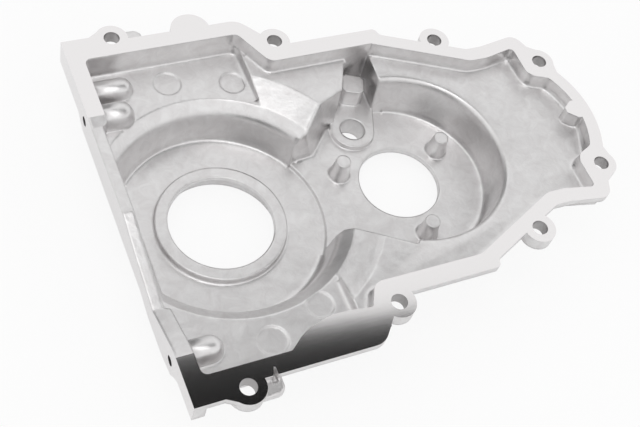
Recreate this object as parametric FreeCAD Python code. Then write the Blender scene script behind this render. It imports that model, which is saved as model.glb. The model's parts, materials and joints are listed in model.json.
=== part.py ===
import FreeCAD, Part
import math
import os

os.makedirs("parts", exist_ok=True)

V = FreeCAD.Vector
UP = V(0, 0, 1)

# Frame: origin on the crank axis in the gasket face, +Y towards the camshaft, +Z towards the engine block.
# All lengths in millimetres. A depth is a distance below the gasket face.

# Centre distances and holes
CAM_Y = 124.8
BOLT_HOLES = ((124.0, -34.6), (100.0, 66.8), (77.5, 175.2), (43.8, 241.3))
BOLT_R = 5.0
BOLT_LUG_R = 10.3
BOLT_BOSS_DEPTH = 9.0
LUG_WEB = 4.0

# Levels of the inside floors
UPPER_DEPTH = 11.3
POCKET_DEPTH = 18.0
CAM_DEPTH = 42.0
DISH_DEPTH = 44.5
PAD_RISE = 3.5
PAD_DEPTH = CAM_DEPTH - PAD_RISE
WALL = 4.0
SMALL_ROUND = 6.0
FRONT_DEPTH = 54.0
LIP_DEPTH = 5.0
ABOVE = 5.0
OVER = 1.0
TINY = 0.01
FAR = 300.0

# Outline of the gasket flange, right half from the top down: x, y, corner radius
FLANGE_HALF = (
    (45.0, 243.7, 0.0), (69.3, 233.8, 8.0), (65.1, 205.0, 25.0), (65.1, 194.2, 8.0),
    (89.9, 139.4, 3.0), (95.6, 137.2, 3.0), (96.1, 69.3, 0.0), (121.8, 48.2, 12.0),
    (121.8, -31.0, 0.0), (127.2, -36.0, 0.0), (127.2, -66.0, 0.0),
)
FLANGE_TOP = (0.0, 264.1, 72.5)

# Outline of the cavity under the gasket face, right half from the top down
CAVITY_TOP = (0.0, 254.6, 60.0)
CAVITY_HALF = (
    (29.0, 241.2, 5.0), (34.6, 227.7, 9.0), (59.3, 227.7, 3.0), (55.2, 206.0, 20.0),
    (55.2, 193.0, 10.0), (84.3, 130.0, 12.0), (84.3, 58.0, 8.0), (110.9, 44.5, 5.0),
    (110.9, -55.8, 4.0), (62.0, -55.8, 0.0), (60.0, -59.0, 0.0),
)
POCKET_TOP_Y = 46.2
POCKET_X = 110.9
POCKET_Y = -55.8
POCKET_TOP_ROUND = 6.0
POCKET_LOW_ROUND = 4.0
MIDDLE_Y = -59.0
MIDDLE_X = 60.0
MIDDLE_SLANT = 2.0

# Cam pocket and its openings
CAM_FLOOR_R = 58.5
CAM_RIM_R = 62.0
CAM_HOLE_R = 27.2
CAM_PAD_R = 50.0
CAM_PILOT_R = 34.0
CAM_LIP = 4.0

# Crank dish, seal ring and shaft opening
DISH_FLOOR_R = 66.0
DISH_EDGE_R = 70.8
DISH_EDGE_DEPTH = 24.0
DISH_SHOULDER_R = 79.0
DISH_CONE_R = 97.5
RING_R = 41.1
RING_RISE = 4.4
RING_DEPTH = DISH_DEPTH - RING_RISE
SHAFT_R = 33.3
SEAL_R = 37.5
SEAL_LIP = 4.0
SEAL_BOSS_R = 44.0

# Bridge between cam pocket and dish: outline at its floor and at the shoulder above
BRIDGE_FLOOR = (
    (-30.0, 124.8), (-55.5, 103.0), (-51.6, 91.8), (-34.6, 75.6), (-33.2, 62.0), (-22.0, 45.0),
    (25.0, 45.0), (37.5, 49.0), (33.6, 59.2), (33.0, 65.9), (35.9, 72.0), (48.0, 85.6), (58.0, 102.0),
    (30.0, 124.8),
)
BRIDGE_SHOULDER = (
    (-34.0, 129.0), (-60.0, 101.0), (-52.4, 82.6), (-36.9, 65.3), (-37.8, 57.0), (-24.0, 43.0),
    (27.0, 43.0), (42.0, 47.3), (37.0, 60.3), (36.6, 65.2), (38.8, 69.6), (51.5, 83.4), (62.0, 100.6),
    (34.0, 129.0),
)

# Sensor trench, pad, hole and fixing block
SENSOR = (-46.0, 109.5)
SENSOR_PAD_R = 15.0
SENSOR_R = 8.5
SENSOR_BOSS_R = 13.5
TRENCH = (
    (-84.3, 131.0), (-58.0, 129.0), (-40.0, 124.0), (-40.0, 98.0), (-54.0, 98.5), (-84.3, 113.0),
)
SENSOR_PAD_TAIL = ((-60.0, 130.5), (-41.0, 123.6), (-46.0, 109.5), (-51.5, 95.6), (-60.0, 100.0))
FIX_BLOCK = (-72.5, 118.0)
FIX_BLOCK_SIZE = 15.0
FIX_BLOCK_DEPTH = 24.7
FIX_BLOCK_TURN = -22.0
FIX_BLOCK_BEVEL = 2.6
FIX_TAP_R = 2.5
FIX_TAP_LENGTH = 20.0

# Three blind tapped posts round the cam opening: x, y
POSTS = ((41.3, 125.8), (-17.5, 160.4), (-15.8, 87.5))
POST_BASE_R = 7.0
POST_TOP_R = 4.8
POST_HEIGHT = 15.0
POST_TAP_R = 2.5
POST_TAP_TOP = 31.0

# Pan rail seen from below: x, z
RAIL_TOP_LEFT = ((-127.2, 0.0), (-67.0, 0.0))
RAIL_TOP_MIDDLE = ((-60.0, -1.6), (2.0, -1.6), (22.0, -7.0), (60.0, -14.0), (92.0, -1.0))
RAIL_TOP_RIGHT = ((97.0, 0.0), (127.2, 0.0))
RAIL_BOTTOM = (
    (127.2, -15.0), (104.0, -15.5), (99.0, -20.0), (95.0, -25.0), (80.0, -28.5), (56.0, -28.5),
    (40.0, -24.5), (-77.0, -24.0), (-86.0, -17.8), (-127.2, -17.8),
)
RAIL_Y = -66.0
RAIL_INNER_Y = -59.0
RAIL_END_Y = -58.5
RELIEF_Y = -52.5
PAN_HOLES = ((-73.8, -12.2), (91.3, -14.8))
PAN_HOLE_R = 3.2
PAN_HOLE_LENGTH = 18.0
UNDER_RAIL = ((-59.0, 12.0), (-49.5, 44.5))

# Domes over the pan bolt holes: x, depth of the axis, radius, far end y
DOME_STEPS = 2
DOMES = ((-96.0, -17.0, 7.8, -28.8), (-75.6, -15.8, 9.0, -34.0), (90.3, -16.0, 8.1, -34.6))

# Right flange widened inwards, edge points from the top down
WIDENING = (
    (98.5, 56.0), (98.5, 48.5), (97.0, 36.0), (96.7, 27.0), (97.8, 20.6), (101.1, 9.4), (104.4, 3.9),
    (109.4, -2.2), (113.0, -7.0), (113.0, 56.0),
)

# Plain lug on the left edge, low side lugs, tab at the top and notch on the right edge
BUMP = (-120.8, 16.3, 12.8)
SIDE_LUG_X = 131.8
SIDE_LUG_Y = (-31.0, -14.2)
SIDE_LUG_DEPTHS = (4.5, 9.0)
SIDE_LUG_BEVEL = 3.0
TAB = (
    (-7.3, 250.0), (-7.3, 245.5), (-4.8, 242.0), (-3.1, 239.6), (0.7, 239.3), (2.9, 241.6), (6.4, 245.3),
    (7.0, 250.0),
)
NOTCH = ((124.0, -20.2), (116.9, -17.6), (117.4, -16.6), (124.0, -16.6))


def corner(before, here, after, radius):
    """Points where a rounded corner starts, turns and ends; a radius of 0 leaves it sharp."""
    if radius == 0.0:
        return here, here, here
    to_before = before.sub(here).normalize()
    to_after = after.sub(here).normalize()
    half = to_before.getAngle(to_after) / 2
    reach = radius / math.tan(half)
    centre = here.add(to_before.add(to_after).normalize().multiply(radius / math.sin(half)))
    middle = centre.add(here.sub(centre).normalize().multiply(radius))
    return here.add(to_before.multiply(reach)), middle, here.add(to_after.multiply(reach))


def rounded_wire(points, z):
    """Closed wire through x, y, radius corners: straight runs joined by tangent arcs."""
    places = [V(x, y, z) for x, y, radius in points]
    count = len(points)
    turns = [corner(places[i - 1], places[i], places[(i + 1) % count], points[i][2]) for i in range(count)]
    edges = []
    for i in range(count):
        start, middle, end = turns[i]
        if points[i][2] > 0.0:
            edges.append(Part.Arc(start, middle, end).toShape())
        edges.append(Part.makeLine(end, turns[(i + 1) % count][0]))
    return Part.Wire(edges)


def prism(wire, depth):
    return Part.Face(wire).extrude(V(0, 0, -depth))


def polygon(points, z=0.0):
    corners = [V(p[0], p[1], z) for p in points]
    return Part.makePolygon(corners + corners[:1])


def mirrored(top, half):
    """Full symmetric outline from a top corner and the right half."""
    left = [(-x, y, r) for x, y, r in reversed(half)]
    return [top] + list(half) + left


def disc(x, y, radius, top, bottom):
    return Part.makeCylinder(radius, top - bottom, V(x, y, bottom), UP)


def turned(profile, x, y):
    """Solid turned about the vertical line at x, y from r, z pairs."""
    corners = [V(x + r, y, z) for r, z in profile]
    return Part.Face(Part.makePolygon(corners + corners[:1])).revolve(V(x, y, 0), UP, 360)


def widened(wire, offset):
    """Face inside the outline, grown by an offset with its corners kept."""
    return Part.Face(wire).makeOffset2D(offset, join=2)


def cavity_outline():
    return mirrored(CAVITY_TOP, CAVITY_HALF)


def upper_cavity():
    return prism(rounded_wire(cavity_outline(), ABOVE), ABOVE + UPPER_DEPTH)


def pocket_cavity():
    corners = (
        (POCKET_X, POCKET_TOP_Y, POCKET_TOP_ROUND), (POCKET_X, POCKET_Y, POCKET_LOW_ROUND),
        (MIDDLE_X + MIDDLE_SLANT, POCKET_Y, 0.0), (MIDDLE_X, MIDDLE_Y, 0.0),
    )
    outline = list(corners) + [(-x, y, r) for x, y, r in reversed(corners)]
    solid = prism(rounded_wire(outline, ABOVE), ABOVE + POCKET_DEPTH)
    return solid.common(prism(rounded_wire(cavity_outline(), ABOVE), ABOVE + POCKET_DEPTH + OVER))


def dish_cavity():
    profile = (
        (0.0, ABOVE), (0.0, -DISH_DEPTH), (DISH_FLOOR_R, -DISH_DEPTH),
        (DISH_EDGE_R, -DISH_EDGE_DEPTH), (DISH_SHOULDER_R, -POCKET_DEPTH),
        (DISH_CONE_R, -UPPER_DEPTH), (DISH_CONE_R, ABOVE),
    )
    solid = turned(profile, 0.0, 0.0)
    solid = solid.common(prism(rounded_wire(cavity_outline(), ABOVE), ABOVE + DISH_DEPTH + OVER))
    return solid.common(above_slope(0.0))


def above_slope(offset):
    """Space on the cam side of the sloping wall that closes the dish under the pan rail."""
    (rail_y, rail_depth), (floor_y, floor_depth) = UNDER_RAIL
    lean = (floor_y - rail_y) / (floor_depth - rail_depth)
    corners = (
        (rail_y - offset, ABOVE), (rail_y - offset, -rail_depth),
        (floor_y - offset + lean * (FAR - floor_depth), -FAR), (FAR, -FAR), (FAR, ABOVE),
    )
    face = Part.Face(Part.makePolygon([V(-FAR, y, z) for y, z in corners + corners[:1]]))
    return face.extrude(V(2 * FAR, 0, 0))


def cam_cavity():
    profile = (
        (0.0, ABOVE), (0.0, -CAM_DEPTH), (CAM_FLOOR_R, -CAM_DEPTH),
        (CAM_RIM_R, -UPPER_DEPTH), (CAM_RIM_R, ABOVE),
    )
    return turned(profile, 0.0, CAM_Y)


def bridge_cavity():
    floor = polygon(BRIDGE_FLOOR, -CAM_DEPTH)
    shoulder = polygon(BRIDGE_SHOULDER, -UPPER_DEPTH)
    lower = Part.makeLoft([floor, shoulder], True, True)
    upper = Part.Face(shoulder).extrude(V(0, 0, UPPER_DEPTH + ABOVE))
    return lower.fuse(upper)


def trench_cavity():
    return prism(polygon(TRENCH, ABOVE), ABOVE + PAD_DEPTH)


def cavity():
    solid = upper_cavity()
    for other in (pocket_cavity(), dish_cavity(), cam_cavity(), bridge_cavity(), trench_cavity()):
        solid = solid.fuse(other)
    return solid


def rail_profile(points):
    corners = [V(x, RAIL_Y, z) for x, z in points]
    return Part.Face(Part.makePolygon(corners + corners[:1]))


def rail():
    outline = RAIL_TOP_LEFT + RAIL_TOP_MIDDLE + RAIL_TOP_RIGHT + RAIL_BOTTOM
    full = rail_profile(outline).extrude(V(0, RAIL_END_Y - RAIL_Y, 0))
    keep = Part.makeBox(2 * FAR, RAIL_INNER_Y - RAIL_Y, FAR, V(-FAR, RAIL_Y, -FAR))
    for side in (-1, 1):
        low = min(side * POCKET_X, side * FAR)
        keep = keep.fuse(Part.makeBox(FAR - POCKET_X, RAIL_END_Y - RAIL_Y + OVER, FAR, V(low, RAIL_Y, -FAR)))
    return full.common(keep)


def rail_relief():
    """Space above the dipped middle of the pan rail."""
    left = RAIL_TOP_LEFT[-1]
    right = RAIL_TOP_RIGHT[0]
    points = (left,) + RAIL_TOP_MIDDLE + (right, (right[0], ABOVE), (left[0], ABOVE))
    return rail_profile(points).extrude(V(0, RELIEF_Y - RAIL_Y, 0))


def bolt_bosses():
    solids = []
    for x, y in BOLT_HOLES:
        for side in (-1, 1):
            solids.append(disc(side * x, y, BOLT_LUG_R, 0.0, -BOLT_BOSS_DEPTH))
    return solids


def web(centre, meeting, along):
    """Web over the notch where a lug's round side meets a straight flange edge."""
    radial = meeting.sub(centre)
    turn = math.degrees(LUG_WEB / BOLT_LUG_R)
    aside = UP.cross(radial)
    if aside.dot(along) > 0.0:
        turn = -turn
    on_lug = centre.add(FreeCAD.Rotation(UP, turn).multVec(radial))
    on_edge = meeting.add(V(along).multiply(LUG_WEB))
    face = Part.Face(Part.makePolygon([centre, meeting, on_edge, on_lug, centre]))
    return face.extrude(V(0, 0, -LIP_DEPTH))


def lug_webs():
    """Small webs that lead each bolt lug into the flange edge, flush with the lip."""
    outline = [V(x, y, 0) for x, y, radius in mirrored(FLANGE_TOP, FLANGE_HALF)]
    solids = []
    for x, y in [(side * x, y) for x, y in BOLT_HOLES for side in (-1, 1)]:
        centre = V(x, y, 0)
        for i in range(len(outline)):
            start, end = outline[i - 1], outline[i]
            along = end.sub(start).normalize()
            middle = centre.sub(start).dot(along)
            aside = start.add(V(along).multiply(middle)).sub(centre).Length
            if aside >= BOLT_LUG_R:
                continue
            half = math.sqrt(BOLT_LUG_R ** 2 - aside ** 2)
            for way in (-1, 1):
                reach = middle + way * half
                if 0.0 < reach < end.sub(start).Length:
                    solids.append(web(centre, start.add(V(along).multiply(reach)), V(along).multiply(way)))
    return solids


def side_lugs():
    low, high = SIDE_LUG_Y
    top, bottom = SIDE_LUG_DEPTHS
    solids = []
    for side in (-1, 1):
        x = side * SIDE_LUG_X
        inner = side * (POCKET_X + OVER)
        box = Part.makeBox(abs(x - inner), high - low, bottom - top, V(min(x, inner), low, -bottom))
        upright = [e for e in box.Edges if e.BoundBox.ZLength > TINY and abs(e.BoundBox.XMin - x) < TINY]
        solids.append(box.makeChamfer(SIDE_LUG_BEVEL, upright))
    return solids


def front_bosses():
    return [
        disc(0.0, 0.0, SEAL_BOSS_R, -DISH_DEPTH, -FRONT_DEPTH),
        disc(0.0, CAM_Y, CAM_PAD_R, -CAM_DEPTH, -FRONT_DEPTH),
        disc(SENSOR[0], SENSOR[1], SENSOR_BOSS_R, -PAD_DEPTH, -FRONT_DEPTH),
    ]


def envelope():
    """Outside of the casting before the inside is hollowed."""
    flange = prism(rounded_wire(mirrored(FLANGE_TOP, FLANGE_HALF), 0.0), LIP_DEPTH)
    outline = [(x, y, 0.0 if r < SMALL_ROUND else r) for x, y, r in cavity_outline()]
    wide = widened(rounded_wire(outline, 0.0), WALL)
    upper = wide.extrude(V(0, 0, -UPPER_DEPTH - WALL))
    clip = wide.extrude(V(0, 0, -DISH_DEPTH - WALL - OVER)).common(above_slope(WALL))
    pocket = Part.makeBox(2 * (POCKET_X + WALL), POCKET_TOP_Y - POCKET_Y + 2 * WALL, POCKET_DEPTH + WALL,
                          V(-POCKET_X - WALL, POCKET_Y - WALL, -POCKET_DEPTH - WALL))
    dish = turned((
        (0.0, 0.0), (0.0, -DISH_DEPTH - WALL), (DISH_FLOOR_R + WALL, -DISH_DEPTH - WALL),
        (DISH_SHOULDER_R + WALL, -POCKET_DEPTH - WALL),
        (DISH_CONE_R + WALL, -UPPER_DEPTH - WALL), (DISH_CONE_R + WALL, 0.0)), 0.0, 0.0)
    cam = turned((
        (0.0, 0.0), (0.0, -CAM_DEPTH - WALL), (CAM_FLOOR_R + WALL, -CAM_DEPTH - WALL),
        (CAM_RIM_R + WALL, -UPPER_DEPTH),
        (CAM_RIM_R + WALL, 0.0)), 0.0, CAM_Y)
    bridge = widened(polygon(BRIDGE_SHOULDER), WALL).extrude(V(0, 0, -CAM_DEPTH - WALL))
    trench = widened(polygon(TRENCH), WALL).extrude(V(0, 0, -PAD_DEPTH - WALL)).common(clip)
    solid = flange
    for other in (upper, pocket, dish.common(clip), cam, bridge, trench):
        solid = solid.fuse(other)
    solid = solid.cut(rail_relief())
    bump = disc(BUMP[0], BUMP[1], BUMP[2], 0.0, -BOLT_BOSS_DEPTH)
    for other in [rail(), bump] + bolt_bosses() + lug_webs() + side_lugs() + front_bosses():
        solid = solid.fuse(other)
    return solid


def dome(x, z, radius, end):
    """Round-topped boss running in from the pan rail, its end a quarter ball."""
    start = POCKET_Y - OVER
    low = -POCKET_DEPTH - OVER
    length = end - radius - start
    step = math.radians(90 / DOME_STEPS)
    side = [(radius, low)] + [(radius * math.cos(i * step), z + radius * math.sin(i * step))
                              for i in range(DOME_STEPS)]
    crown = (0.0, z + radius)
    section = side + [crown] + [(-r, level) for r, level in reversed(side)]
    corners = [V(x + r, start, level) for r, level in section]
    barrel = Part.Face(Part.makePolygon(corners + corners[:1])).extrude(V(0, length, 0))
    return barrel.fuse(turned(side + [crown, (0.0, low)], x, start + length))


def ring():
    return turned((
        (SHAFT_R, -RING_DEPTH), (SHAFT_R, -DISH_DEPTH - WALL),
        (RING_R, -DISH_DEPTH - WALL), (RING_R, -RING_DEPTH)), 0.0, 0.0)


def post(x, y):
    return Part.makeCone(POST_BASE_R, POST_TOP_R, POST_HEIGHT, V(x, y, -CAM_DEPTH), UP)


def fixing_block():
    half = FIX_BLOCK_SIZE / 2
    cut = half - FIX_BLOCK_BEVEL
    corners = ((half, cut), (cut, half), (-cut, half), (-half, cut),
               (-half, -cut), (-cut, -half), (cut, -half), (half, -cut))
    block = prism(polygon(corners, -FIX_BLOCK_DEPTH), FRONT_DEPTH - FIX_BLOCK_DEPTH)
    block.rotate(V(0, 0, 0), UP, FIX_BLOCK_TURN)
    block.translate(V(FIX_BLOCK[0], FIX_BLOCK[1], 0))
    return block


def inside_features():
    solids = [
        ring(), fixing_block(), prism(polygon(SENSOR_PAD_TAIL, -PAD_DEPTH), CAM_DEPTH - PAD_DEPTH + OVER),
        disc(SENSOR[0], SENSOR[1], SENSOR_PAD_R, -PAD_DEPTH, -CAM_DEPTH - OVER),
    ]
    solids += [post(x, y) for x, y in POSTS]
    solids += [dome(*d) for d in DOMES]
    solids.append(prism(polygon(WIDENING), POCKET_DEPTH + OVER))
    solids.append(prism(polygon(TAB), UPPER_DEPTH + OVER))
    return solids


def holes():
    tools = []
    for x, y in BOLT_HOLES:
        for side in (-1, 1):
            tools.append(disc(side * x, y, BOLT_R, ABOVE, -BOLT_BOSS_DEPTH - OVER))
    tools.append(disc(0.0, 0.0, SHAFT_R, 0.0, -FRONT_DEPTH - OVER))
    tools.append(disc(0.0, 0.0, SEAL_R, -RING_DEPTH - SEAL_LIP, -FRONT_DEPTH - OVER))
    tools.append(disc(0.0, CAM_Y, CAM_HOLE_R, 0.0, -FRONT_DEPTH - OVER))
    tools.append(disc(0.0, CAM_Y, CAM_PILOT_R, -CAM_DEPTH - CAM_LIP, -FRONT_DEPTH - OVER))
    tools.append(disc(SENSOR[0], SENSOR[1], SENSOR_R, 0.0, -FRONT_DEPTH - OVER))
    tap_top = -FRONT_DEPTH + FIX_TAP_LENGTH
    tools.append(disc(FIX_BLOCK[0], FIX_BLOCK[1], FIX_TAP_R, tap_top, -FRONT_DEPTH - OVER))
    for x, y in POSTS:
        tools.append(disc(x, y, POST_TAP_R, -POST_TAP_TOP, -FRONT_DEPTH - OVER))
    for x, z in PAN_HOLES:
        start = V(x, RAIL_Y - OVER, z)
        tools.append(Part.makeCylinder(PAN_HOLE_R, PAN_HOLE_LENGTH + OVER, start, V(0, 1, 0)))
    tools.append(prism(polygon(NOTCH, OVER), LIP_DEPTH + 2 * OVER))
    return tools


def timing_cover():
    solid = envelope().cut(cavity())
    for feature in inside_features():
        solid = solid.fuse(feature)
    for tool in holes():
        solid = solid.cut(tool)
    return solid.removeSplitter()


body = timing_cover()
body.exportStep("parts/timing_cover.step")
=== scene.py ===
import json
import math

import bmesh
import bpy
from mathutils import Matrix, Vector

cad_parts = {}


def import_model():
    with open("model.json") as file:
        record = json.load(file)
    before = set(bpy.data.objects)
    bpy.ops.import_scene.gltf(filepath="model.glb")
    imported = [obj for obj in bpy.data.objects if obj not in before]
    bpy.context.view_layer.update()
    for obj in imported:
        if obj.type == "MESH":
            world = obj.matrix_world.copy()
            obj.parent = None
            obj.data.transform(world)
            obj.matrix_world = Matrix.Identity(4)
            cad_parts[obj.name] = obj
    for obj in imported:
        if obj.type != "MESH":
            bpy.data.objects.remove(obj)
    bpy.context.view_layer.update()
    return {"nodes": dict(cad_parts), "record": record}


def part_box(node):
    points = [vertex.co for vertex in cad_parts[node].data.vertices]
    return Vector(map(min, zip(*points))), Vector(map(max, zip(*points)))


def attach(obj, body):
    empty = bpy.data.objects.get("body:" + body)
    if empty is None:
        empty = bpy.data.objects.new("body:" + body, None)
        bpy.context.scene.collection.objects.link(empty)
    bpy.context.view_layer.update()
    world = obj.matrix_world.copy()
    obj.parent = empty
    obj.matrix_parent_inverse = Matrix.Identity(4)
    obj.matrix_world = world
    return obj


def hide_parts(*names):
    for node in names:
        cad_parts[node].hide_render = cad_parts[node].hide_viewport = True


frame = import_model()

MM = 0.001

# Levels of the three cut faces, read from the frame in metres
LOW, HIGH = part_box("timing_cover")
GASKET_Z = HIGH.z
FRONT_Z = LOW.z
PAN_Y = LOW.y

# Points closer than this are one, how far a flat face may stray, and the least cosine of its lean
SEAM = 0.001 * MM
FLAT = 0.02 * MM
FACING = 0.99


def mounts(start):
    """The record's mounts whose names start with a word."""
    return [m for m in frame["record"]["mounts"] if m["name"].startswith(start)]


# Centres and drilled holes in millimetres, read from the record's mounts
CRANK = (0.0, 0.0)
CAM = tuple(place / MM for place in mounts("cam_opening")[0]["pos_m"][:2])
POSTS = tuple(tuple(place / MM for place in m["pos_m"][:2]) for m in mounts("cam_tap"))
BOLT_HOLES = tuple((m["dims"]["spacing_x_mm"] / 2, m["pos_m"][1] / MM) for m in mounts("block_bolts"))
BOLT_R = mounts("block_bolts")[0]["dims"]["hole_r_mm"]
PAN_HOLES = tuple((m["pos_m"][0] / MM, m["pos_m"][2] / MM) for m in mounts("pan_tap"))
PAN_HOLE_R = mounts("pan_tap")[0]["dims"]["r_mm"]
PAN_HOLE_END = PAN_Y / MM + mounts("pan_tap")[0]["dims"]["length_mm"]
HOLE_MARGIN = 0.1
END_MARGIN = 1.0

# Levels and radii in millimetres and leans in degrees, as in the part's source
UPPER_Z = -11.3
POCKET_Z = -18.0
CAM_FLOOR_Z = -42.0
DISH_FLOOR_Z = -44.5
CAM_FLOOR_R = 58.5
CAM_RIM_R = 62.0
CAM_LEAN = 6.5
DISH_FLOOR_R = 66.0
DISH_EDGE_R = 70.8
DISH_EDGE_Z = -24.0
DISH_LEAN = 13.2
RING_R = 41.1
POST_R = 7.0
POST_LEAN = 8.3
BRIDGE_LEAN = 15.0

# Round rims: centre, radius, level, size of the round, then how far their points may stray
RIMS = ((CAM, CAM_RIM_R, UPPER_Z, 3.5), (CRANK, DISH_EDGE_R, DISH_EDGE_Z, 2.5))
RIM_LEVEL_SLACK = 0.05
RIM_RADIUS_SLACK = 0.15

# Other sharp edges that are rounded: box that holds them (low, high) and least angle
RIDGES = (
    ((-135.0, -30.0, -9.5), (-128.0, -13.0, -4.0), 40.0),
    ((128.0, -30.0, -9.5), (135.0, -13.0, -4.0), 40.0),
    ((-36.5, 67.0, -42.5), (-34.0, 76.5, -19.0), 40.0),
    ((-61.0, 64.0, -22.0), (-35.5, 100.0, -11.0), 60.0),
)
RIDGE_ROUND = 2.0

# Segments of a round, largest angle in degrees that is shaded smooth, and the one that counts as flat
ROUND_STEPS = 4
GENTLE = 12.5
COPLANAR = 0.4

# Fillet radii at the foot of the walls, and how finely they and their paths turn
DEEP_FILLET = 4.5
FLAT_FILLET = 3.6
RING_FILLET = 2.2
POST_FILLET = 1.8
FILLET_STEPS = 7
CORNER_STEP = 9
ARC_STEP = 5

# Wall feet seen from above, the floor to the right of the way they run: x, y, corner radius
LEFT_FOOT = ((-110.9, -55.8, 0.0), (-110.9, 46.2, 5.0), (-68.5, 46.2, 0.0))
RIGHT_FOOT = ((69.5, 46.2, 0.0), (97.0, 46.2, 0.0))
SHELF_FOOT = ((-101.5, 49.3, 0.0), (-84.3, 58.0, 8.0), (-84.3, 113.0, 0.0))
UPPER_FOOT = (
    (-83.0, 132.8, 0.0), (-55.2, 193.0, 10.0), (-55.2, 206.0, 20.0), (-59.3, 227.7, 3.0), (-34.6, 227.7, 9.0),
    (-29.0, 241.2, 5.0), (0.0, 254.6, 60.0), (29.0, 241.2, 5.0), (34.6, 227.7, 9.0), (59.3, 227.7, 3.0),
    (55.2, 206.0, 20.0), (55.2, 193.0, 10.0), (84.3, 130.0, 12.0), (84.3, 58.0, 8.0), (95.0, 52.6, 0.0),
)
BRIDGE_FOOT = ((-33.3, 63.0, 0.0), (-34.6, 75.6, 0.0), (-51.6, 91.8, 0.0), (-52.6, 94.6, 0.0))

# Fillets along those feet: path, floor level, radius, lean of the wall
STRAIGHT_FILLETS = (
    (LEFT_FOOT, POCKET_Z, FLAT_FILLET, 0.0),
    (RIGHT_FOOT, POCKET_Z, DEEP_FILLET, 0.0),
    (SHELF_FOOT, UPPER_Z, FLAT_FILLET, 0.0),
    (UPPER_FOOT, UPPER_Z, FLAT_FILLET, 0.0),
    (BRIDGE_FOOT, CAM_FLOOR_Z, DEEP_FILLET, BRIDGE_LEAN),
)

# Fillets round the pockets, the ring and the posts: centre, radius, first and last angle, then as above
ROUND_FILLETS = (
    (CAM, CAM_FLOOR_R, 168, -20, CAM_FLOOR_Z, DEEP_FILLET, CAM_LEAN),
    (CRANK, DISH_FLOOR_R, 228, 118.5, DISH_FLOOR_Z, DEEP_FILLET, DISH_LEAN),
    (CRANK, DISH_FLOOR_R, 55, -48, DISH_FLOOR_Z, DEEP_FILLET, DISH_LEAN),
    (CRANK, RING_R, 0, 360, DISH_FLOOR_Z, RING_FILLET, 0.0),
) + tuple((post, POST_R, 0, 360, CAM_FLOOR_Z, POST_FILLET, POST_LEAN) for post in POSTS)

# Round-topped bosses behind the pan rail: x, z of the axis, radius, far end y
DOMES = ((-96.0, -17.0, 7.8, -28.8), (-75.6, -15.8, 9.0, -34.0), (90.3, -16.0, 8.1, -34.6))
DOME_START = -56.8
DOME_SIDES = 32

# Ejector marks: x, y, radius in millimetres; the cuts reach over the floor that lies near
MARKS = ((-95.0, -6.0, 9.0), (-86.5, 35.2, 8.5), (94.6, -6.0, 9.3), (80.8, 29.0, 8.5))
MARK_STEPS = 32
MARK_DEPTH = 0.8 * MM
MARK_SLOPE = 0.35 * MM
MARK_REACH = 200 * MM

# Slots of the casting's materials; the bored slot carries a darker grey that is painted shade for the inside
# of the holes
CAST, MILLED, BORED = range(3)

# Sizes of the patterns on the metal
GRAIN = 1.6 * MM
MOTTLE = 9 * MM
CLOUD = 45 * MM
SOFT_CORNER = 2.2 * MM
CUTTER_WAVE = 14 * MM
CUTTER_STREAK = 1.5 * MM
STREAK_STRETCH = (1.0, 0.04, 1.0)
DRILL_RING = 12 * MM

# Camera
LENS = 63.72
CAMERA_PLACE = Vector((332.9, -199.2, 543.3)) * MM
CAMERA_TURN = (33.78, -11.52, 67.56)
NEAR_CLIP = 0.05

# Paper floor, and the share of plain white in it as the camera and the metal see it
FLOOR_Z = FRONT_Z - 0.02 * MM
FLOOR_SIZE = (6, 6)
PAPER_SHARE = 0.88
MIRROR_SHARE = 0.4

# Cards that the metal mirrors: place and size in metres, turn about the upright axis in degrees
FLAG_PLACE = (-0.127, 0.418, 1.2)
FLAG_SIZE = (0.58, 1.2)
FLAG_TURN = 173
BEHIND_PLACE = (1.05, -0.95, 0.75)
BEHIND_SIZE = (0.9, 1.2)
BEHIND_TURN = -42
AHEAD_PLACE = (-1.25, -0.25, 0.6)
AHEAD_SIZE = (1.0, 0.7)
AHEAD_TURN = 188
UPRIGHT = 90

# Lamp, and the sky's strength from the horizon up
LAMP_PLACE = (0.04, -0.03, 1.1)
LAMP_TARGET = (0, 0.05, 0)
LAMP_SIZE = 0.46
LAMP_POWER = 1.3
SKY_LOW, SKY_HIGH = 0.05, 0.5
SKY_DIM, SKY_BRIGHT = 0.65, 0.97


def linear(code):
    """sRGB hex colour as linear RGBA."""
    parts = [int(code[i:i + 2], 16) / 255 for i in (1, 3, 5)]
    return [p / 12.92 if p <= 0.04045 else ((p + 0.055) / 1.055) ** 2.4 for p in parts] + [1.0]


def add(tree, kind, settings=None, inputs=None):
    """Add a node, set its properties and fill its inputs with values or links."""
    node = tree.nodes.new(kind)
    for name, value in (settings or {}).items():
        setattr(node, name, value)
    for name, value in (inputs or {}).items():
        if isinstance(value, bpy.types.NodeSocket):
            tree.links.new(value, node.inputs[name])
        else:
            node.inputs[name].default_value = value
    return node


def material(name):
    """A new material with an empty node tree."""
    made = bpy.data.materials.new(name)
    made.use_nodes = True
    made.node_tree.nodes.clear()
    return made, made.node_tree


def ramp(tree, factor, low, high, dark, light):
    """Map a factor between two limits to two values."""
    return add(tree, "ShaderNodeMapRange", None, {
        "Value": factor, "From Min": low, "From Max": high, "To Min": dark, "To Max": light,
    }).outputs["Result"]


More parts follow.
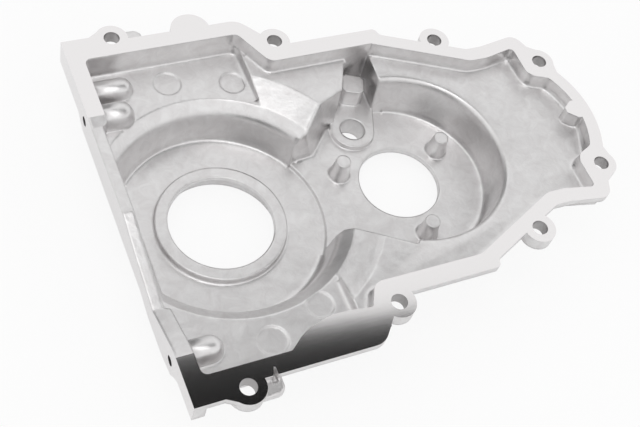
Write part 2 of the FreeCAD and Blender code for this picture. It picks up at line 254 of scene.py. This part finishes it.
def die_cast_aluminium():
    """Die cast aluminium: satin grey skin with fine grain, mottled flow marks and soft corners."""
    made, tree = material("die_cast_aluminium")
    place = add(tree, "ShaderNodeTexCoord").outputs["Object"]
    grain = add(tree, "ShaderNodeTexNoise", None, {
        "Vector": place, "Scale": 1 / GRAIN, "Detail": 2.0, "Roughness": 0.6,
    }).outputs["Fac"]
    mottle = add(tree, "ShaderNodeTexNoise", None, {
        "Vector": place, "Scale": 1 / MOTTLE, "Detail": 5.0, "Roughness": 0.65, "Distortion": 0.8,
    }).outputs["Fac"]
    cloud = add(tree, "ShaderNodeTexNoise", None, {
        "Vector": place, "Scale": 1 / CLOUD, "Detail": 3.0, "Roughness": 0.55, "Distortion": 0.6,
    }).outputs["Fac"]
    tone = add(tree, "ShaderNodeMix", {"data_type": "RGBA"}, {
        "Factor": ramp(tree, mottle, 0.35, 0.65, 0.0, 1.0), "A": linear("#DDDBDB"), "B": linear("#E9E8E8"),
    }).outputs["Result"]
    soft = add(tree, "ShaderNodeBevel", {"samples": 8}, {"Radius": SOFT_CORNER}).outputs["Normal"]
    swell = add(tree, "ShaderNodeBump", None, {
        "Strength": 0.4, "Distance": 2 * MM, "Height": cloud, "Normal": soft,
    }).outputs["Normal"]
    waves = add(tree, "ShaderNodeBump", None, {
        "Strength": 0.16, "Distance": 0.35 * MM, "Height": mottle, "Normal": swell,
    }).outputs["Normal"]
    bump = add(tree, "ShaderNodeBump", None, {
        "Strength": 0.3, "Distance": 0.2 * MM, "Height": grain, "Normal": waves,
    }).outputs["Normal"]
    shader = add(tree, "ShaderNodeBsdfPrincipled", None, {
        "Base Color": tone, "Metallic": 1.0, "Roughness": ramp(tree, cloud, 0.3, 0.7, 0.38, 0.3),
        "Normal": bump,
    }).outputs["BSDF"]
    add(tree, "ShaderNodeOutputMaterial", None, {"Surface": shader})
    return made


def milled_aluminium():
    """Face-milled aluminium: bright and nearly a mirror at a low angle, with fine cutter streaks.

    The streaks are drawn coarser than real ones, so that they show.
    """
    made, tree = material("milled_aluminium")
    place = add(tree, "ShaderNodeTexCoord").outputs["Object"]
    waves = add(tree, "ShaderNodeTexNoise", None, {
        "Vector": place, "Scale": 1 / CUTTER_WAVE, "Detail": 2.0, "Roughness": 0.5,
    }).outputs["Fac"]
    bump = add(tree, "ShaderNodeBump", None, {
        "Strength": 0.02, "Distance": 0.3 * MM, "Height": waves,
    }).outputs["Normal"]
    along = add(tree, "ShaderNodeMapping", None, {"Vector": place, "Scale": STREAK_STRETCH}).outputs["Vector"]
    cuts = add(tree, "ShaderNodeTexNoise", None, {
        "Vector": along, "Scale": 1 / CUTTER_STREAK, "Detail": 3.0, "Roughness": 0.6,
    }).outputs["Fac"]
    streaks = add(tree, "ShaderNodeBump", None, {
        "Strength": 0.08, "Distance": 0.02 * MM, "Height": cuts, "Normal": bump,
    }).outputs["Normal"]
    shader = add(tree, "ShaderNodeBsdfPrincipled", None, {
        "Base Color": linear("#EDEBEB"), "Metallic": 1.0, "Roughness": 0.09, "Normal": streaks,
    }).outputs["BSDF"]
    add(tree, "ShaderNodeOutputMaterial", None, {"Surface": shader})
    return made


def bored_aluminium_painted_shade():
    """Drilled aluminium with faint drill rings, drawn wider than real ones; its darker grey colour is painted
    shade for the walls inside the holes.
    """
    made, tree = material("bored_aluminium_painted_shade")
    place = add(tree, "ShaderNodeTexCoord").outputs["Object"]
    rings = add(tree, "ShaderNodeTexWave", {"bands_direction": "Z"}, {
        "Vector": place, "Scale": 1 / DRILL_RING, "Distortion": 1.5,
    }).outputs["Fac"]
    bump = add(tree, "ShaderNodeBump", None, {
        "Strength": 0.4, "Distance": 0.1 * MM, "Height": rings,
    }).outputs["Normal"]
    # The darker base colour is painted shade for the inside of the bolt and pan holes
    shader = add(tree, "ShaderNodeBsdfPrincipled", None, {
        "Base Color": linear("#ADABAB"), "Metallic": 1.0, "Roughness": 0.3, "Normal": bump,
    }).outputs["BSDF"]
    add(tree, "ShaderNodeOutputMaterial", None, {"Surface": shader})
    return made


def is_bore(face):
    """The walls of the bolt holes and of the pan holes are drilled."""
    centre = face.calc_center_median() / MM
    bolt = any(math.hypot(abs(centre.x) - x, centre.y - y) < BOLT_R + HOLE_MARGIN for x, y in BOLT_HOLES)
    pan = centre.y < PAN_HOLE_END + END_MARGIN and any(
        math.hypot(centre.x - x, centre.z - z) < PAN_HOLE_R + HOLE_MARGIN for x, z in PAN_HOLES)
    return (bolt and abs(face.normal.z) < 0.5) or (pan and face.normal.y > -0.5)


def is_milled(face):
    """Gasket face, pan face and front faces are cut flat after casting."""
    centre = face.calc_center_median()
    if abs(centre.z - GASKET_Z) < FLAT and face.normal.z > FACING:
        return True
    if abs(centre.y - PAN_Y) < FLAT and face.normal.y < -FACING:
        return True
    return abs(centre.z - FRONT_Z) < FLAT and face.normal.z < -FACING


def is_gentle(edge):
    """Edges inside a turned surface stay smooth; cut faces keep a crisp border."""
    if not edge.is_manifold or edge.link_faces[0].material_index != edge.link_faces[1].material_index:
        return False
    return edge.calc_face_angle() < math.radians(GENTLE)


def floor_faces(bm, level):
    """The faces that lie flat at a level and look up."""
    return [f for f in bm.faces if f.normal.z > FACING and all(abs(v.co.z - level) < FLAT for v in f.verts)]


def ejector_mark(bm, x, y, radius):
    """Shallow round ejector mark, pressed into the floor of a side pocket."""
    centre = Vector((x, y, POCKET_Z)) * MM
    bmesh.ops.triangulate(bm, faces=floor_faces(bm, centre.z))
    for i in range(MARK_STEPS):
        turn = 2 * math.pi * i / MARK_STEPS
        out = Vector((math.cos(turn), math.sin(turn), 0))
        floor = [f for f in floor_faces(bm, centre.z)
                 if (f.calc_center_median() - centre).length < MARK_REACH]
        bounds = list({e for f in floor for e in f.edges}) + list({v for f in floor for v in f.verts})
        side = centre + out * radius * MM
        bmesh.ops.bisect_plane(bm, geom=floor + bounds, dist=SEAM, plane_co=side, plane_no=out)
    inside = [f for f in floor_faces(bm, centre.z) if (f.calc_center_median() - centre).length < radius * MM]
    bmesh.ops.inset_region(bm, faces=inside, thickness=MARK_SLOPE, depth=-MARK_DEPTH, use_even_offset=True)


def rounded(points):
    """Path through x, y, radius corners, with the corners turned in short steps."""
    path = [Vector(points[0][:2])]
    for before, here, after in zip(points, points[1:], points[2:]):
        corner = Vector(here[:2])
        back = (Vector(before[:2]) - corner).normalized()
        ahead = (Vector(after[:2]) - corner).normalized()
        half = back.angle(ahead) / 2
        centre = corner + (back + ahead).normalized() * here[2] / math.sin(half)
        first = corner + back * here[2] / math.tan(half) - centre
        last = corner + ahead * here[2] / math.tan(half) - centre
        turn = first.angle_signed(last, 0.0) if here[2] else 0.0
        steps = max(1, round(abs(math.degrees(turn)) / CORNER_STEP)) if here[2] else 0
        for i in range(steps + 1):
            path.append(centre + Matrix.Rotation(-turn * i / max(steps, 1), 2) @ first)
    path.append(Vector(points[-1][:2]))
    return path


def arc(centre, radius, start, end):
    """Path along a circle, between two angles in degrees."""
    steps = max(8, round(abs(end - start) / ARC_STEP))
    turns = [math.radians(start + (end - start) * i / steps) for i in range(steps + 1)]
    return [Vector(centre) + radius * Vector((math.cos(t), math.sin(t))) for t in turns]


def aside(path, i):
    """Step to the right of a path at one of its points, long enough to keep a mitred strip's width."""
    back = (path[i] - path[i - 1]).normalized() if i else (path[1] - path[0]).normalized()
    ahead = (path[i + 1] - path[i]).normalized() if i + 1 < len(path) else back
    sides = Vector((back.y, -back.x)), Vector((ahead.y, -ahead.x))
    return (sides[0] + sides[1]) / (1 + sides[0].dot(sides[1]))


def fillet(bm, path, level, size, lean=0.0):
    """Hollow round along the foot of a wall: a grid bent along the path, the floor to its right."""
    reach = size / math.tan(math.radians(90 + lean) / 2)
    turns = [math.radians(90 - lean) * i / FILLET_STEPS for i in range(FILLET_STEPS + 1)]
    profile = [(reach - size * math.sin(t), size - size * math.cos(t)) for t in turns]
    last = len(path) - 1
    grid = bmesh.ops.create_grid(bm, x_segments=last, y_segments=FILLET_STEPS, size=0.5)["verts"]
    rows = [[None] * (FILLET_STEPS + 1) for here in path]
    for vert in grid:
        i, j = round((vert.co.x + 0.5) * last), round((vert.co.y + 0.5) * FILLET_STEPS)
        away, up = profile[j]
        vert.co = Vector((*(path[i] + aside(path, i) * away), level + up)) * MM
        rows[i][j] = vert
    for face in {f for v in grid for f in v.link_faces}:
        face.smooth = True
    if (path[0] - path[-1]).length > size:
        for row, foot in ((rows[0], path[0]), (rows[-1], path[-1])):
            bm.faces.new(row + [bm.verts.new((*foot * MM, level * MM))])


def soften(bm, edges, size):
    """Round sharp edges of the casting by a real bevel."""
    bmesh.ops.bevel(
        bm, geom=edges, offset=size * MM, segments=ROUND_STEPS, profile=0.5, affect="EDGES", material=-1)


def on_circle(edge, centre, radius, level):
    """True for an edge of the circle at a level, within the chords' sag."""
    return all(abs(v.co.z / MM - level) < RIM_LEVEL_SLACK and
               abs((v.co.xy / MM - Vector(centre)).length - radius) < RIM_RADIUS_SLACK for v in edge.verts)


def in_box(edge, low, high):
    """True for an edge that lies in a box."""
    return all(low[i] < v.co[i] / MM < high[i] for v in edge.verts for i in range(3))


def round_rims(bm):
    """Round the rims of the deep pockets, the bridge and the free corners of the side lugs."""
    bmesh.ops.dissolve_limit(bm, angle_limit=math.radians(COPLANAR), verts=bm.verts, edges=bm.edges)
    for centre, radius, level, size in RIMS:
        soften(bm, [e for e in bm.edges if on_circle(e, centre, radius, level)], size)
    soften(bm, [e for e in bm.edges for low, high, least in RIDGES if in_box(e, low, high)
                and e.calc_face_angle_signed() > math.radians(least)], RIDGE_ROUND)


def dome(bm, x, z, radius, end):
    """Smooth crown over a faceted boss: half a barrel that ends in a quarter ball."""
    made = bmesh.ops.create_uvsphere(
        bm, u_segments=DOME_SIDES, v_segments=DOME_SIDES // 2, radius=radius * MM)["verts"]
    bmesh.ops.rotate(bm, verts=made, matrix=Matrix.Rotation(math.radians(90), 3, "X"))
    bmesh.ops.delete(bm, geom=[v for v in made if v.co.z < -SEAM], context="VERTS")
    crown = [v for v in made if v.is_valid]
    for vert in crown:
        back = vert.co.y < -SEAM
        vert.co += Vector((x, end - radius, z)) * MM
        if back:
            vert.co.y = DOME_START * MM
    for face in {f for v in crown for f in v.link_faces}:
        face.smooth = True


def dressing():
    """Crowns and fillets that lie on the casting, as one mesh."""
    bm = bmesh.new()
    for boss in DOMES:
        dome(bm, *boss)
    for foot, level, size, lean in STRAIGHT_FILLETS:
        fillet(bm, rounded(foot), level, size, lean)
    for centre, radius, start, end, level, size, lean in ROUND_FILLETS:
        fillet(bm, arc(centre, radius, start, end), level, size, lean)
    mesh = bpy.data.meshes.new("dressing")
    bm.to_mesh(mesh)
    bm.free()
    return mesh


def cover():
    """The casting: a merged copy of the CAD solid, smooth where its surfaces turn gently."""
    bm = bmesh.new()
    bm.from_mesh(frame["nodes"]["timing_cover"].data)
    bmesh.ops.remove_doubles(bm, verts=bm.verts, dist=SEAM)
    round_rims(bm)
    for mark in MARKS:
        ejector_mark(bm, *mark)
    for face in bm.faces:
        face.smooth = True
        face.material_index = MILLED if is_milled(face) else BORED if is_bore(face) else CAST
    for edge in bm.edges:
        edge.smooth = is_gentle(edge)
    dress = dressing()
    bm.from_mesh(dress)
    bpy.data.meshes.remove(dress)
    mesh = bpy.data.meshes.new("cover_casting")
    bm.to_mesh(mesh)
    bm.free()
    piece = bpy.data.objects.new("cover_casting", mesh)
    bpy.context.scene.collection.objects.link(piece)
    mesh.materials.append(die_cast_aluminium())
    mesh.materials.append(milled_aluminium())
    mesh.materials.append(bored_aluminium_painted_shade())
    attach(piece, "root")
    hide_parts("timing_cover")


def plane(name, centre, size, turn, tilt, surface):
    """A flat sheet of the studio, tilted about Y and then turned about Z."""
    bm = bmesh.new()
    bmesh.ops.create_grid(bm, x_segments=1, y_segments=1, size=0.5)
    bmesh.ops.scale(bm, verts=bm.verts, vec=(size[0], size[1], 1))
    for angle, axis in ((tilt, "Y"), (turn, "Z")):
        bmesh.ops.rotate(bm, verts=bm.verts, matrix=Matrix.Rotation(math.radians(angle), 3, axis))
    bmesh.ops.translate(bm, verts=bm.verts, vec=centre)
    mesh = bpy.data.meshes.new(name)
    bm.to_mesh(mesh)
    bm.free()
    mesh.materials.append(surface)
    piece = bpy.data.objects.new(name, mesh)
    bpy.context.scene.collection.objects.link(piece)


def paper_floor():
    """White studio paper, shown white to the camera and in the metal, and shaded close to the object."""
    made, tree = material("studio_paper")
    paper = add(tree, "ShaderNodeBsdfDiffuse", None, {"Color": linear("#FAFAFA")}).outputs["BSDF"]
    white = add(tree, "ShaderNodeEmission", None, {
        "Color": linear("#FFFFFF"), "Strength": 1.0,
    }).outputs["Emission"]
    rays = add(tree, "ShaderNodeLightPath").outputs
    share = 0.0
    for kind, part in (("Camera", PAPER_SHARE), ("Glossy", MIRROR_SHARE), ("Transmission", MIRROR_SHARE)):
        ray = rays["Is " + kind + " Ray"]
        seen = add(tree, "ShaderNodeMath", {"operation": "MULTIPLY"}, {0: ray, 1: part}).outputs["Value"]
        share = add(tree, "ShaderNodeMath", {"operation": "MAXIMUM"}, {0: seen, 1: share}).outputs["Value"]
    shader = add(tree, "ShaderNodeMixShader", None, {0: share, 1: paper, 2: white}).outputs["Shader"]
    add(tree, "ShaderNodeOutputMaterial", None, {"Surface": shader})
    plane("studio_floor", (0, 0, FLOOR_Z), FLOOR_SIZE, 0, 0, made)


def card_stock(name, tone):
    """Matt card, which gives a plain dark patch in a mirrored room."""
    made, tree = material(name)
    shader = add(tree, "ShaderNodeBsdfDiffuse", None, {"Color": linear(tone)}).outputs["BSDF"]
    add(tree, "ShaderNodeOutputMaterial", None, {"Surface": shader})
    return made


def dark_cards():
    """A dark gap overhead, which the milled flange mirrors, and two grey gaps at the sides for the walls."""
    plane("black_flag", FLAG_PLACE, FLAG_SIZE, FLAG_TURN, 0, card_stock("black_card", "#202020"))
    grey = card_stock("grey_card", "#6A6A6A")
    plane("room_behind", BEHIND_PLACE, BEHIND_SIZE, BEHIND_TURN, UPRIGHT, grey)
    plane("room_ahead", AHEAD_PLACE, AHEAD_SIZE, AHEAD_TURN, UPRIGHT, grey)


def world():
    """White room, dimmer towards the horizon."""
    made = bpy.data.worlds.new("white_studio")
    made.use_nodes = True
    tree = made.node_tree
    tree.nodes.clear()
    toward = add(tree, "ShaderNodeTexCoord").outputs["Generated"]
    height = add(tree, "ShaderNodeSeparateXYZ", None, {"Vector": toward}).outputs["Z"]
    strength = ramp(tree, height, SKY_LOW, SKY_HIGH, SKY_DIM, SKY_BRIGHT)
    back = add(tree, "ShaderNodeBackground", None, {"Color": linear("#FFFFFF"), "Strength": strength})
    add(tree, "ShaderNodeOutputWorld", None, {"Surface": back.outputs["Background"]})
    bpy.context.scene.world = made


def softbox():
    """Square lamp above the cover."""
    light = bpy.data.lights.new("top_light", "AREA")
    light.shape = "RECTANGLE"
    light.size = light.size_y = LAMP_SIZE
    light.energy = LAMP_POWER
    lamp = bpy.data.objects.new("top_light", light)
    lamp.location = LAMP_PLACE
    lamp.rotation_euler = (Vector(LAMP_TARGET) - Vector(LAMP_PLACE)).to_track_quat("-Z", "Y").to_euler()
    bpy.context.scene.collection.objects.link(lamp)


def camera():
    """The camera, at the photo's view."""
    data = bpy.data.cameras.new("photo_view")
    data.lens = LENS
    data.clip_start = NEAR_CLIP
    lens = bpy.data.objects.new("photo_view", data)
    lens.location = CAMERA_PLACE
    lens.rotation_euler = [math.radians(a) for a in CAMERA_TURN]
    bpy.context.scene.collection.objects.link(lens)
    bpy.context.scene.camera = lens


cover()
paper_floor()
dark_cards()
world()
softbox()
camera()

bpy.context.scene.view_settings.view_transform = "Standard"
